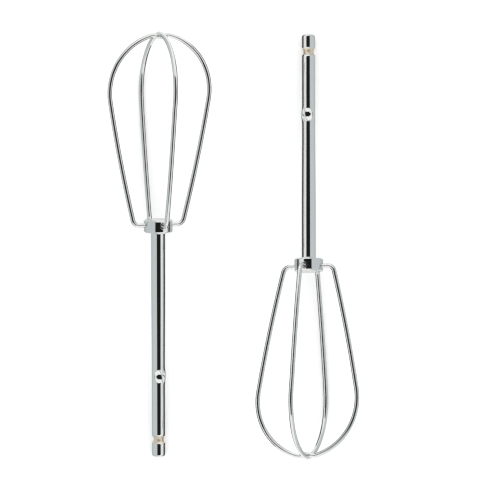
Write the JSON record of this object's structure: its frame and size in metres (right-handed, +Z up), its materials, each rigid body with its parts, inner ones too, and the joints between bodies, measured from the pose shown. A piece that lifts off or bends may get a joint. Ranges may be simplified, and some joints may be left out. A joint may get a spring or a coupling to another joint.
{
  "type": "hand mixer beater pair",
  "caption": "Whisk beaters for a hand mixer: chrome-plated round drive shafts, each with a collar that holds crossed wire loops in a balloon shape, lying head to tail.",
  "frame": {"origin": "on the surface that the beaters lie on, under the middle of the pair", "axes": "+Z up; +Y along the left beater towards its whisk, and along the right beater towards its drive end; +X from the left beater to the right one"},
  "size_m": [0.1136, 0.191, 0.0463],
  "materials": {
    "shaft_chrome": "bright",
    "collar_chrome": "bright",
    "wire_chrome": "bright"
  },
  "bodies": {
    "left_beater": {"left_shaft": "shaft_chrome", "left_collar": "collar_chrome", "left_over_wire": "wire_chrome", "left_under_wire": "wire_chrome"},
    "right_beater": {"right_shaft": "shaft_chrome", "right_collar": "collar_chrome", "right_over_wire": "wire_chrome", "right_under_wire": "wire_chrome"}
  },
  "joints": [
    {"name": "right_spin", "type": "hinge", "parent": "left_beater", "child": "right_beater", "pos_m": [0.0337, -0.00884, 0.01574], "axis": [0, -0.9924, 0.1234], "continuous": true}
  ]
}
